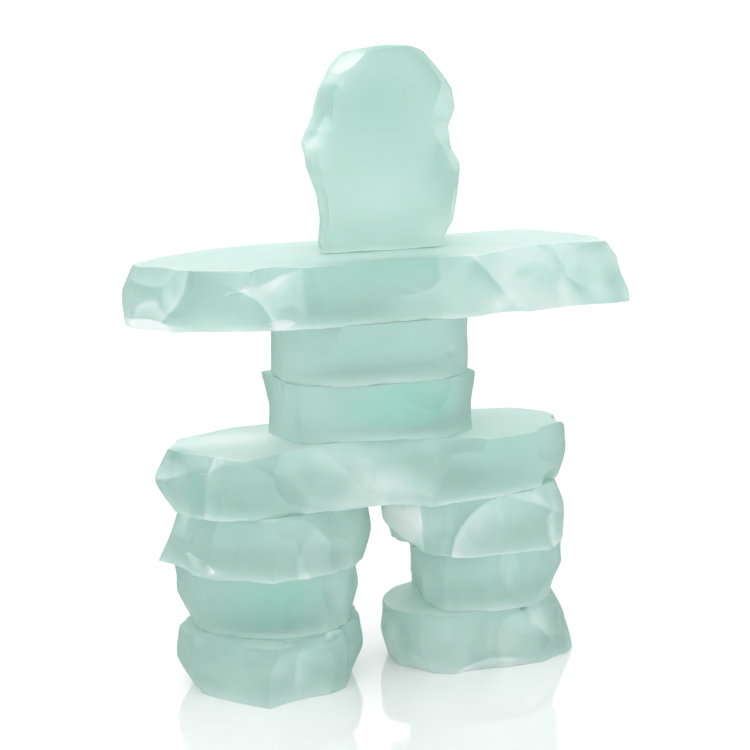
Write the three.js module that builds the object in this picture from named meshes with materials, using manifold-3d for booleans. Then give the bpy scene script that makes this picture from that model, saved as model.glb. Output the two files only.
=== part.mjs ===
// A desk-size inukshuk of frosted plate glass: eleven slabs with flaked edges, bonded into a stone figure.
// Millimetres, +Z up, the long arms slab along X, the figure's front towards -Y.
// The origin is the middle of the footprint, at the level the two feet stand on.
import * as THREE from 'three';
import { mergeVertices } from 'three/addons/utils/BufferGeometryUtils.js';
import Module from 'manifold-3d';

const wasm = await Module();
wasm.setup();

// The plate that every slab is cut from, and the clear bond line between two slabs.
const GLASS_THICKNESS = 19;
const BOND_GAP = 0.3;

// Each slab's own length along X and depth along Y.
const FOOT_LEFT_LENGTH = 64;
const FOOT_LEFT_DEPTH = 51;
const SHIN_LEFT_LENGTH = 61;
const SHIN_LEFT_DEPTH = 43;
const THIGH_LEFT_LENGTH = 67;
const THIGH_LEFT_DEPTH = 47;
const FOOT_RIGHT_LENGTH = 67;
const FOOT_RIGHT_DEPTH = 47;
const SHIN_RIGHT_LENGTH = 59;
const SHIN_RIGHT_DEPTH = 43;
const THIGH_RIGHT_LENGTH = 65;
const THIGH_RIGHT_DEPTH = 46;
const HIPS_LENGTH = 136;
const HIPS_DEPTH = 50;
const WAIST_LENGTH = 67;
const WAIST_DEPTH = 38;
const CHEST_LENGTH = 63;
const CHEST_DEPTH = 35;
const ARMS_LENGTH = 164;
const ARMS_DEPTH = 49;
const HEAD_WIDTH = 54;
const HEAD_HEIGHT = 63.5;

// The shape of one flake scar: its ball is this many times as deep as the scar, and this finely faceted.
const BALL_DEPTH = 6;
const BALL_DETAIL = 3;

const PERCENT = 0.01;
const UP = new THREE.Vector3(0, 0, 1);

// The height of an upright slab's base, in percent of its height from its middle.
const UPRIGHT_BASE = -50;

// The heights at which a slab's outline is given: its bottom, middle and top, as shares of its thickness.
const RING_HEIGHTS = [0, 0.5, 1];

// Vertices closer than this are one when a geometry becomes a solid.
const MERGE_DISTANCE = 1e-5;

// Corners run anticlockwise seen from above: x and y in percent of the slab's length and depth, for the
// middle of its edge, then how far the top and bottom arrises stand out past that, in percent of thickness.
// Flakes: corner number along the edge, height in percent of thickness, how far the scar faces upward of
// level in degrees, then width, height and bite in percent of thickness. A flake may end with its turn to
// the right and its slant round its own middle, in degrees.
const FOOT_LEFT = {
  corners: [
    [-49, 16, -10, -35], [-44, -10, -8, -17], [-28, -29, -6, 1], [-9, -44, -20, 16], [9, -39, -12, 4],
    [31, -28, -6, -4], [45, -6, -10, -26], [48, 18, -8, -20], [36, 40, -4, -6], [4, 50, 0, 0],
    [-31, 42, -4, -4],
  ],
  flakes: [
    [0.5, 45, 0, 90, 150, 4], [1.35, 80, 18, 80, 70, 5], [1.9, 35, 2, 150, 120, 5, 0, -10],
    [2.9, 99, 45, 90, 40, 5], [3.2, 60, 4, 100, 90, 4], [3.95, 30, 9, 84, 150, 7, -8, -8],
    [5.0, 76, 10, 44, 75, 4], [5.4, 36, -5, 70, 140, 6], [6.0, 10, -30, 90, 90, 4],
    [6.9, 60, 0, 100, 130, 4], [8.5, 50, 0, 170, 150, 6], [9.8, 55, 5, 150, 150, 6],
  ],
};
const SHIN_LEFT = {
  corners: [
    [-47, 24, 21, -25], [-44, -10, 12, -12], [-28, -33, 0, -8], [-5, -50, 0, -4], [20, -45, 0, 0],
    [38, -31, 3, -8], [48, -7, -10, -15], [49, 19, -4, -4], [35, 43, 0, 0], [2, 50, 0, 0],
    [-32, 43, 0, 0],
  ],
  flakes: [
    [0.5, 50, 0, 110, 150, 4], [1.6, 60, 4, 110, 150, 3], [3.0, 45, 0, 190, 170, 2],
    [4.3, 60, 5, 70, 150, 4, 0, 8], [5.6, 55, 0, 95, 140, 3], [7.4, 50, 5, 130, 150, 5],
    [8.8, 55, 5, 170, 150, 6], [10.2, 50, 0, 140, 150, 5],
  ],
};
const THIGH_LEFT = {
  corners: [
    [-44, 28, -18, 27], [-40, 2, -12, 19], [-29, -24, -8, 12], [-8, -43, -16, 15], [12, -41, -12, 8],
    [33, -31, -5, 0], [49, -11, -10, -15], [49, 20, -14, -20], [38, 41, -5, -8], [8, 50, 0, -3],
    [-26, 46, -3, -3], [-38, 41, -10, 15],
  ],
  flakes: [
    [0.42, 86, 34, 50, 50, 7], [0.8, 45, 6, 90, 140, 4], [2.45, 70, 2, 210, 120, 8],
    [3.3, 45, 4, 70, 120, 5, 0, 14], [4.05, 36, 11, 80, 150, 8, -6, 12], [4.75, 60, 2, 60, 140, 5],
    [5.5, 55, 0, 90, 140, 4], [6.3, 15, -30, 85, 90, 4], [7.6, 50, 5, 130, 150, 5],
    [9.2, 55, 5, 170, 150, 6], [10.5, 50, 0, 140, 150, 5],
  ],
};
const FOOT_RIGHT = {
  corners: [
    [-46.5, 13, -5, -16], [-48.5, -11, -4, -15], [-38, -33, -8, 0], [-21, -46, -6, 0], [3, -45, -10, 0],
    [24, -43, -25, 0], [39, -35, -24, 0], [45.5, -20, -28, 8], [46, 13, -16, 0], [33, 39, -6, -5],
    [0, 50, 0, 0], [-34, 36, -8, -5],
  ],
  flakes: [
    [0.9, 2, -35, 90, 70, 4], [0.85, 42, 6, 46, 50, 4], [1.9, 55, 0, 130, 160, 3],
    [3.1, 40, 0, 70, 160, 3], [3.5, 5, -25, 84, 40, 7], [4.25, 56, 13, 100, 170, 10, -8, 10],
    [5.3, 78, 26, 120, 120, 9, 8, 0], [5.75, 30, -5, 80, 80, 4], [6.6, 80, 10, 95, 110, 5],
    [8.4, 50, 5, 130, 150, 5], [9.6, 55, 5, 170, 150, 6], [10.6, 50, 0, 150, 150, 5],
  ],
};
const SHIN_RIGHT = {
  corners: [
    [-43.5, 14, 12, -18], [-46, -14, 11, -14], [-38, -38, 0, 0], [-14, -50, 0, 0], [14, -50, 0, -4],
    [31, -33, 0, -12], [44, -10, 8, -26], [48.5, 19, 5, -14], [31, 43, 0, -5], [-3, 50, 0, 0],
    [-36, 40, 0, 0],
  ],
  flakes: [
    [0.5, 30, -5, 90, 120, 4], [1.4, 74, 8, 70, 70, 3], [2.6, 50, 0, 170, 170, 2],
    [3.42, 56, 5, 34, 84, 2.5, 0, 6], [4.4, 55, 0, 110, 150, 4], [5.6, 50, 5, 80, 140, 5],
    [6.3, 20, -25, 90, 110, 5], [7.6, 50, 0, 120, 150, 5], [9.2, 55, 5, 160, 150, 6],
    [10.3, 50, 0, 130, 150, 5],
  ],
};
const THIGH_RIGHT = {
  corners: [
    [-50, -10, 2, -65], [-34, -34, 0, -20], [-16, -48, -5, -8], [8, -48, -10, -8], [27, -48, -20, 4],
    [42, -28, -15, -4], [49.5, -6, -24, 1], [51.5, 17, -14, 1], [38, 41, -6, -6], [3, 50, 0, 0],
    [-31, 46, -3, -5], [-41, 21, 0, -15],
  ],
  flakes: [
    [0.36, 60, -20, 120, 160, 6, -10, 0], [1.0, 88, 20, 30, 60, 5], [1.4, 50, 2, 80, 240, 6, 0, 8],
    [3.0, 48, 6, 186, 190, 11, 7, 6], [2.35, 44, 14, 90, 170, 10.5, 9, 14], [4.1, 94, 40, 110, 60, 8],
    [4.35, 20, 18, 60, 70, 6], [4.75, 72, 24, 50, 90, 6], [5.6, 45, 0, 90, 130, 4],
    [6.4, 15, -20, 80, 80, 4], [7.6, 50, 5, 110, 150, 5], [9.0, 55, 5, 160, 150, 6],
    [10.2, 50, 5, 150, 150, 5],
  ],
};
const HIPS = {
  corners: [
    [-50, 9, -30, -38], [-47, -15, -25, -18], [-41, -30, -8, 0], [-32, -40, -4, -5],
    [-21, -42, -12, -18], [-11, -42, -28, -10], [-2, -38, -40, -12], [10, -46, -50, 8],
    [20, -44, -3, 0], [31, -40, -4, 0], [41, -32, 0, -8], [50.5, -15, -4, -14], [50.5, 17, -5, -8],
    [43, 38, -4, -8], [25, 48, 0, -4], [-2, 50, 0, -4], [-26, 48, -3, -6], [-42, 34, -12, -14],
  ],
  flakes: [
    [0.62, 84, 20, 130, 105, 7], [0.25, 66, 30, 50, 40, 6, 0, 20], [0.8, 22, -22, 110, 90, 6],
    [1.72, 52, -2, 46, 210, 8, 8, 6], [2.15, 94, 50, 120, 180, 9, -22, 0],
    [4.3, 66, 34, 300, 300, 13, 14, 0], [6.1, 56, 18, 230, 220, 13], [5.5, 12, 14, 140, 30, 5, 0, -8],
    [10.9, 15, -20, 90, 75, 4], [10.6, 12, -40, 60, 45, 8], [11.3, 100, 45, 60, 30, 9],
    [11.6, 55, 0, 110, 140, 3], [13.3, 50, 5, 150, 150, 6], [14.7, 60, 5, 190, 150, 6],
    [16.2, 50, 0, 180, 150, 6], [17.4, 60, 5, 120, 140, 5],
  ],
};
const WAIST = {
  corners: [
    [-46, 20, 26, 7], [-44, -9, 11, -6], [-38, -31, 5, -4], [-18, -42, 15, -20], [8, -46, 8, -12],
    [27, -50, 0, 0], [39, -41, 0, 0], [50, -23, 11, 3], [49, 15, 11, 4], [38, 39, 3, 3], [2, 47, 3, 3],
    [-30, 45, 3, 3],
  ],
  flakes: [
    [0.4, 45, 0, 110, 150, 3], [7.4, 50, 0, 120, 150, 4], [9.0, 55, 0, 130, 150, 4],
    [10.6, 50, 0, 170, 150, 5],
  ],
};
const CHEST = {
  corners: [
    [-49.6, 35, 0, 0], [-49.6, -9, 0, 0], [-43, -32, 0, -3], [-25, -50, 0, 0], [3, -50, 0, 0],
    [27, -50, 0, 0], [43, -32, 0, 0], [50, -9, 0, 0], [51, 26, 0, 0], [35, 47, 0, 0], [-2, 50, 0, 0],
    [-37, 48, 0, 0],
  ],
  flakes: [
    [0.5, 50, 0, 130, 160, 3], [8.6, 50, 0, 130, 150, 4], [10.4, 50, 0, 170, 150, 5],
  ],
};
const ARMS = {
  corners: [
    [-50.9, 6, -26, -10], [-49.9, -17, -22, -8], [-44.5, -31, -14, -8], [-37, -40, 5, -12],
    [-30, -47, 4, -12], [-20, -50, 0, 0], [-6, -46, -3, 0], [5, -45, -3, 0], [12, -47, 0, 4],
    [24, -44, -20, 0], [36, -42, -30, 4], [50, -33, -45, 4], [49, 2, -20, 0], [44, 27, -14, -5],
    [36, 48, -5, -8], [21, 44, 0, -4], [0, 48, 0, -6], [-20, 47, 0, -4], [-33, 38, -3, -8],
    [-43, 23, -10, -12],
  ],
  flakes: [
    [0.5, 60, 0, 90, 120, 3], [1.6, 92, 42, 78, 90, 8, -6, 0], [1.5, 42, 26, 50, 26, 5],
    [1.3, 5, -30, 100, 54, 8], [2.4, 50, 6, 60, 220, 6, -14, 12], [3.1, 42, 0, 100, 150, 3],
    [4.65, 74, 30, 90, 60, 8, -14, 24], [4.85, 26, 8, 100, 150, 9, 6, 14],
    [8.0, 66, 16, 76, 120, 5, -8, 0], [9.3, 52, 22, 300, 320, 18, 13, 0],
    [9.5, 92, 50, 230, 150, 15, 10, 0], [9.4, 70, 26, 70, 44, 16, 4, 0],
    [10.8, 60, 18, 100, 150, 9, 14, 0], [10.6, 18, 28, 74, 54, 7], [11.5, 70, 5, 110, 110, 5],
    [12.6, 60, 5, 120, 140, 4], [13.7, 50, 0, 130, 140, 5], [15.5, 55, 5, 210, 150, 6],
    [16.9, 45, -5, 170, 150, 5], [18.2, 60, 5, 150, 150, 6], [19.3, 50, 0, 120, 140, 5],
  ],
};
// The head stands upright: its x and y are across and up, and its top and bottom arrises face front
// and back.
const HEAD = {
  corners: [
    [-37, -50, 14, -12], [35, -50, -6, -6], [40, -43, -12, -10], [44, -38, -12, -10],
    [47, -25, -12, -10], [48.4, -8, -12, -10], [42.4, 1, -12, -10], [41, 10, -12, -10],
    [46, 19, -12, -10], [43.3, 30, -12, -10], [34.3, 40, -10, -10], [21, 49, -2, -11], [14, 51, 0, -11],
    [2, 51, 0, -11], [-6, 50, 0, -11], [-18, 49, 0, -10], [-28.4, 40, -4, -9], [-35.6, 27, -4, -8],
    [-40.3, 15, -4, -10], [-44.7, 3, -4, -7], [-45, -9, 2, -13], [-38.7, -23, 12, -14],
    [-36, -37, 16, -14],
  ],
  flakes: [
    [3.4, 100, 60, 120, 60, 3], [3.5, 50, 0, 110, 150, 3], [5.0, 97, 66, 190, 110, 3],
    [6.9, 95, 40, 40, 40, 4], [8.3, 100, 60, 90, 50, 3], [9.6, 100, 62, 160, 60, 4],
    [9.3, 45, 0, 110, 140, 3], [10.6, 50, 0, 80, 150, 3], [10.8, 100, 60, 120, 60, 3],
    [15.75, 50, 0, 130, 190, 7, -8, 0], [17.25, 56, 0, 100, 190, 7, 16, 0],
    [18.8, 52, 6, 80, 190, 7, -18, 0], [19.9, 60, 6, 84, 190, 6, 10, 0], [19.85, 98, 42, 74, 60, 7],
    [18.1, 99, 40, 40, 30, 4], [16.6, 99, 42, 44, 30, 4], [21.2, 50, 0, 90, 150, 3],
  ],
};

// Where each slab sits, bottom slab first: the slab it is placed by, and how far its middle lies from that
// slab's middle, in percent of that slab's length and depth.
const STACK = [
  { name: 'hips', slab: HIPS, length: HIPS_LENGTH, depth: HIPS_DEPTH, level: 3, by: null, shift: [0, 0] },
  {
    name: 'left_leg_upper', slab: THIGH_LEFT, length: THIGH_LEFT_LENGTH, depth: THIGH_LEFT_DEPTH,
    level: 2, by: 'hips', shift: [-23.5, -5],
  },
  {
    name: 'left_leg_middle', slab: SHIN_LEFT, length: SHIN_LEFT_LENGTH, depth: SHIN_LEFT_DEPTH,
    level: 1, by: 'left_leg_upper', shift: [0, 4],
  },
  {
    name: 'left_leg_lower', slab: FOOT_LEFT, length: FOOT_LEFT_LENGTH, depth: FOOT_LEFT_DEPTH,
    level: 0, by: 'left_leg_middle', shift: [1, -9.5],
  },
  {
    name: 'right_leg_upper', slab: THIGH_RIGHT, length: THIGH_RIGHT_LENGTH, depth: THIGH_RIGHT_DEPTH,
    level: 2, by: 'hips', shift: [28, 2],
  },
  {
    name: 'right_leg_middle', slab: SHIN_RIGHT, length: SHIN_RIGHT_LENGTH, depth: SHIN_RIGHT_DEPTH,
    level: 1, by: 'right_leg_upper', shift: [9.5, 3.5],
  },
  {
    name: 'right_leg_lower', slab: FOOT_RIGHT, length: FOOT_RIGHT_LENGTH, depth: FOOT_RIGHT_DEPTH,
    level: 0, by: 'right_leg_middle', shift: [-8.5, -5],
  },
  {
    name: 'torso_lower', slab: WAIST, length: WAIST_LENGTH, depth: WAIST_DEPTH,
    level: 4, by: 'hips', shift: [2, 10],
  },
  {
    name: 'torso_upper', slab: CHEST, length: CHEST_LENGTH, depth: CHEST_DEPTH,
    level: 5, by: 'torso_lower', shift: [3, -4],
  },
  {
    name: 'arms', slab: ARMS, length: ARMS_LENGTH, depth: ARMS_DEPTH,
    level: 6, by: 'torso_upper', shift: [5, 18],
  },
  {
    name: 'head', slab: HEAD, length: HEAD_WIDTH, depth: HEAD_HEIGHT,
    level: 7, by: 'arms', shift: [2, 12.5], upright: true,
  },
];

// The pale sea green of the plate, and how dull its frost is.
const GLASS_COLOUR = 0xa9cdc1;
const GLASS_ROUGHNESS = 0.6;
const glass = new THREE.MeshStandardMaterial({
  color: GLASS_COLOUR, roughness: GLASS_ROUGHNESS, metalness: 0, transparent: true, opacity: 0.85,
});

// The corners of a slab at one of its ring heights, each moved out along its edge's normal.
// On the base that an upright slab stands on they move only sideways, so that it stays flat.
function ring({ slab, length, depth, upright }, level) {
  const middle = slab.corners.map(([x, y]) => new THREE.Vector2(x * PERCENT * length, y * PERCENT * depth));
  return middle.map((point, k) => {
    const before = middle[(k + middle.length - 1) % middle.length];
    const after = middle[(k + 1) % middle.length];
    const along = after.clone().sub(before).normalize();
    const [, height, top, bottom] = slab.corners[k];
    const onBase = upright && height === UPRIGHT_BASE;
    const outwards = new THREE.Vector2(along.y, -along.x);
    if (onBase) outwards.set(Math.sign(point.x), 0);
    const stands = [bottom, 0, top][level] * PERCENT * GLASS_THICKNESS;
    const place = point.clone().addScaledVector(outwards, stands);
    return new THREE.Vector3(place.x, place.y, RING_HEIGHTS[level] * GLASS_THICKNESS);
  });
}

// A closed geometry through rings of equally many points, lowest ring first, with flat ends.
function loft(rings) {
  const count = rings[0].length;
  const index = [];
  for (let level = 0; level + 1 < rings.length; level += 1) {
    for (let k = 0; k < count; k += 1) {
      const low = level * count + k;
      const lowNext = level * count + ((k + 1) % count);
      index.push(low, lowNext, lowNext + count, low, lowNext + count, low + count);
    }
  }
  const topStart = (rings.length - 1) * count;
  const flat = (points) => points.map((p) => new THREE.Vector2(p.x, p.y));
  for (const [a, b, c] of THREE.ShapeUtils.triangulateShape(flat(rings[0]), [])) {
    index.push(a, c, b);
  }
  for (const [a, b, c] of THREE.ShapeUtils.triangulateShape(flat(rings.at(-1)), [])) {
    index.push(topStart + a, topStart + b, topStart + c);
  }
  const geometry = new THREE.BufferGeometry();
  const places = rings.flat().flatMap((p) => [...p]);
  geometry.setAttribute('position', new THREE.Float32BufferAttribute(places, 3));
  geometry.setIndex(index);
  return geometry;
}

// A merged, closed geometry as a solid for cutting.
function toSolid(geometry) {
  const bare = geometry.clone();
  bare.deleteAttribute('normal');
  bare.deleteAttribute('uv');
  const merged = mergeVertices(bare, MERGE_DISTANCE);
  return new wasm.Manifold(new wasm.Mesh({
    numProp: 3,
    vertProperties: new Float32Array(merged.attributes.position.array),
    triVerts: new Uint32Array(merged.index.array),
  }));
}

// A solid's surface as a geometry with flat facets.
function toGeometry(solid) {
  const mesh = solid.getMesh();
  const geometry = new THREE.BufferGeometry();
  geometry.setAttribute('position', new THREE.BufferAttribute(mesh.vertProperties, 3));
  geometry.setIndex(new THREE.BufferAttribute(mesh.triVerts, 1));
  return geometry;
}

// The ball that leaves one flake scar: it meets the edge wall in an ellipse and bites in by its bite.
function flakeBall(rings, [where, height, tilt, wide, tall, bite, turn = 0, slant = 0]) {
  const count = rings[0].length;
  const share = where - Math.floor(where);
  const upper = height * PERCENT * (rings.length - 1);
  const step = Math.min(Math.floor(upper), rings.length - 2);
  const corner = (k, level) => rings[level][(Math.floor(where) + k) % count];
  const onLevel = (level) => corner(0, level).clone().lerp(corner(1, level), share);
  const low = onLevel(step);
  const high = onLevel(step + 1);
  const place = low.clone().lerp(high, upper - step);
  const along = corner(1, 1).clone().sub(corner(0, 1)).normalize();
  const outwards = new THREE.Vector3().crossVectors(along, UP);
  outwards.applyAxisAngle(along, -THREE.MathUtils.degToRad(tilt));
  const upwards = new THREE.Vector3().crossVectors(outwards, along);
  outwards.applyAxisAngle(upwards, THREE.MathUtils.degToRad(turn));
  along.applyAxisAngle(upwards, THREE.MathUtils.degToRad(turn));
  along.applyAxisAngle(outwards, THREE.MathUtils.degToRad(slant));
  upwards.applyAxisAngle(outwards, THREE.MathUtils.degToRad(slant));
  const deep = bite * PERCENT * GLASS_THICKNESS;
  const reach = deep * BALL_DEPTH;
  const widen = 1 / Math.sqrt(1 - (1 - 1 / BALL_DEPTH) ** 2);
  const halfWide = (wide / 2) * PERCENT * GLASS_THICKNESS * widen;
  const halfTall = (tall / 2) * PERCENT * GLASS_THICKNESS * widen;
  const centre = place.addScaledVector(outwards, reach - deep);
  const ball = new THREE.IcosahedronGeometry(1, BALL_DETAIL);
  ball.scale(halfWide, halfTall, reach);
  const facing = new THREE.Matrix4().makeBasis(along, upwards, outwards);
  ball.applyMatrix4(facing.setPosition(centre));
  return ball;
}

// One slab of plate glass, flat above and below, with its edge flaked.
function slabGeometry(row) {
  const rings = RING_HEIGHTS.map((_, level) => ring(row, level));
  let solid = toSolid(loft(rings));
  for (const flake of row.slab.flakes) {
    solid = solid.subtract(toSolid(flakeBall(rings, flake)));
  }
  return toGeometry(solid);
}

// The height of a level's underside: one plate and one bond line for each slab beneath it.
const levelHeight = (level) => level * (GLASS_THICKNESS + BOND_GAP);

// Every slab as a named mesh, each placed from the slab that it is bonded to.
function buildFigure() {
  const figure = new THREE.Group();
  const middles = {};
  for (const row of STACK) {
    const base = row.by === null ? null : middles[row.by];
    const x = base ? base.x + row.shift[0] * PERCENT * base.length : 0;
    const y = base ? base.y + row.shift[1] * PERCENT * base.depth : 0;
    middles[row.name] = { x, y, length: row.length, depth: row.depth };
    const mesh = new THREE.Mesh(slabGeometry(row), glass.clone());
    mesh.name = row.name;
    mesh.position.set(x, y, levelHeight(row.level));
    if (row.upright) {
      mesh.rotation.x = Math.PI / 2;
      mesh.position.y += GLASS_THICKNESS / 2;
      mesh.position.z += row.depth / 2;
    }
    figure.add(mesh);
  }
  return figure;
}

// Moves the figure so that the middle of its footprint is the origin.
function centred(figure) {
  const box = new THREE.Box3().setFromObject(figure);
  const middle = box.getCenter(new THREE.Vector3());
  figure.position.set(-middle.x, -middle.y, -box.min.z);
  return figure;
}

const part = new THREE.Group();
part.add(centred(buildFigure()));

export default part;
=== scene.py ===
"""A desk-size inukshuk of frosted sea-green plate glass: eleven slabs with hand-flaked edges, bonded up.

Each slab is worked out again at a finer grain than the solid it stands for, from the same outline: a wall
between its bottom, middle and top outlines, bitten by shallow flake scars with ripples in them, its
arrises nicked and rounded, and flat above and below.
"""
import math

import bpy
import numpy as np
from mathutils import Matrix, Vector


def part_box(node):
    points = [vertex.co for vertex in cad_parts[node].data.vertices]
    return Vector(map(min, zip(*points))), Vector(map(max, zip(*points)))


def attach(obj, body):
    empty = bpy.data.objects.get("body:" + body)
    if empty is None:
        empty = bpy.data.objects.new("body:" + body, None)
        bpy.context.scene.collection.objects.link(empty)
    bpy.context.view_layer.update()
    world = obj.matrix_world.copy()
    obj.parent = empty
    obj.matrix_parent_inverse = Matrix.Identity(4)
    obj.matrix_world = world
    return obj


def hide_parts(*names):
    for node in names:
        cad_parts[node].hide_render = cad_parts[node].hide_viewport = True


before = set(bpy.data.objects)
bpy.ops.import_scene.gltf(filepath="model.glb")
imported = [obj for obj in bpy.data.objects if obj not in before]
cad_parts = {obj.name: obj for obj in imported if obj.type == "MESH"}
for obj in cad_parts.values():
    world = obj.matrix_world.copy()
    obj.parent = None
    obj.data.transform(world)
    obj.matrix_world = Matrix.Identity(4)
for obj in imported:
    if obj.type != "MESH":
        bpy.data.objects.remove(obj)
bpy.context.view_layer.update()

MM = 0.001
PERCENT = 0.01

# How finely a broken edge is worked: the step along it, the step up it, and the rounding of its arrises.
# The lower arris is sharper, as it sits in the bond.
COLUMN_STEP = 0.42 * MM
ROW_STEP = 0.42 * MM
ARRIS_RADIUS = 0.07 * MM
LOWER_ARRIS_RADIUS = 0.03 * MM
ARRIS_ROWS = 5

# The plate faces above and below are rings, each a share of the way out from the slab's spine, and the
# spine is this share of the slab's length less its depth.
CAP_SHARES = 0.99 - 0.97 * np.linspace(0, 1, 14) ** 1.3
UNDER_SHARES = np.array([0.02, 0.3, 0.6, 0.85, 0.95, 0.99])
SPINE_SHARE = 0.9

# How soft the bend is between the lower and the upper half of a wall, as a share of half the plate.
WALL_BEND = 0.22

# How much whiter the rounded arrises and the sandblasted plate faces are than the broken edge: partly
# their frost, partly a painted highlight along the arrises and painted light on the plate faces. And how
# much whiter again the lower plate face is.
ARRIS_WHITE_AND_HIGHLIGHT = 0.8
PLATE_WHITE_AND_LIGHT = 0.32
UNDER_WHITE = 0.25

# Painted light at the foot of each broken edge: how much whiter it grows towards its lower arris,
# standing for light that runs inside the plate and comes out there and lifting the shade at the joint,
# and how fast that fades upward.
LOWER_PAINTED_LIGHT = 0.42
GLOW_REACH = 3 * MM

# How far in from the broken edge a patch of painted light and shade still shows.
PATCH_DEPTH = 8 * MM

# The rim of a scar: how sharp it is, how high its lip stands, how much darker its far side is painted
# as shade, and how fast its painted highlight fades over the plate face.
RIM_SHARP = 0.12 * MM
RIM_LIP = 0.10 * MM
RIM_SHADE = 0.3
RIM_OVER = 1.2 * MM

# A flake's bowl: how fast it climbs out past its rim, and how much it wavers, coarsely and finely, as
# shares of its bite, with the lengths of those waves.
BOWL_RIM = 0.12
WAVER, WAVER_LENGTH = 0.10, 6.5 * MM
FINE_WAVER, FINE_WAVER_LENGTH = 0.035, 2.2 * MM

# The least slope at which the way in still meets a flake's plane, and the limits of a bite's depth.
GRAZING = 0.25
BITE_LIMITS = (-3 * MM, 12 * MM)

# The ripples in a scar: how deep they are, the range of their length in millimetres, how faint they are
# between their swells and how long those are, how wide a scar has to be to show them in full, and how far
# from its middle the blow fell, as a share of its half height.
RIPPLE_DEPTH = 0.02 * MM
RIPPLE_LENGTHS = (1.6, 3.2)
RIPPLE_FAINT = 0.35
RIPPLE_SWELL = 5 * MM
RIPPLE_WIDTH = 4 * MM
STRUCK_AT = 0.8

# How cloudy the crushed white in a scar is on the whole, and the most that a deep scar has of it.
CRUSHED_CLOUD = 0.55
CRUSHED_MOST = 1.1

# Unevenness: how many sine waves it sums, and the range of their lengths as shares of the one asked for.
WAVE_COUNT = 10
WAVE_LENGTHS = (0.7, 1.5)

# How much unevenness, and of what length: of the broken edge's depth, of the crushed white and of the
# patches of painted light and shade, coarse and fine, and of the top face.
EDGE_WAVES = ((0.14 * MM, 15 * MM), (0.025 * MM, 3.5 * MM))
CRUSHED_WAVES = ((0.22, 9 * MM), (0.10, 2.4 * MM))
PATCH_WAVES = ((0.12, 7 * MM), (0.06, 2.5 * MM))
FACE_WAVES = (0.04 * MM, 11 * MM)

# Scars at random, in the units of the flakes table below: how many to a corner, the ranges of their
# heights, widths, tallness, bites and whiteness, and the middle and the spread of their tilts, turns and
# slants.
SCARS_PER_CORNER = 0.6
SCAR_HEIGHTS = (5, 100)
SCAR_WIDTHS = (45, 120)
SCAR_TALLNESS = (45, 150)
SCAR_BITES = (1.0, 2.8)
SCAR_WHITES = (-12, 20)
SCAR_TILTS = (6, 11)
SCAR_TURNS = (0, 7)
SCAR_SLANTS = (0, 25)

# Small chips along each arris: how many to a corner, the ranges of their tilts and widths, and of their
# tallness and bites as shares of their width.
CHIPS_PER_CORNER = 2
CHIP_TILTS = (20, 50)
CHIP_WIDTHS = (8, 26)
CHIP_TALLNESS = (0.6, 1.1)
CHIP_BITES = (0.05, 0.11)

# How soft a ridge between two scars is, and how far a slab reaches into the bond line beside it.
RIDGE_SOFTNESS = 0.06 * MM
BOND_REACH = 0.148 * MM

# The seed of what is left to chance on the first slab, and its step from slab to slab.
FIRST_SEED, SEED_STEP = 7, 100

# The base of the upright slab, in percent of its height from its middle.
UPRIGHT_BASE = -50
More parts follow.
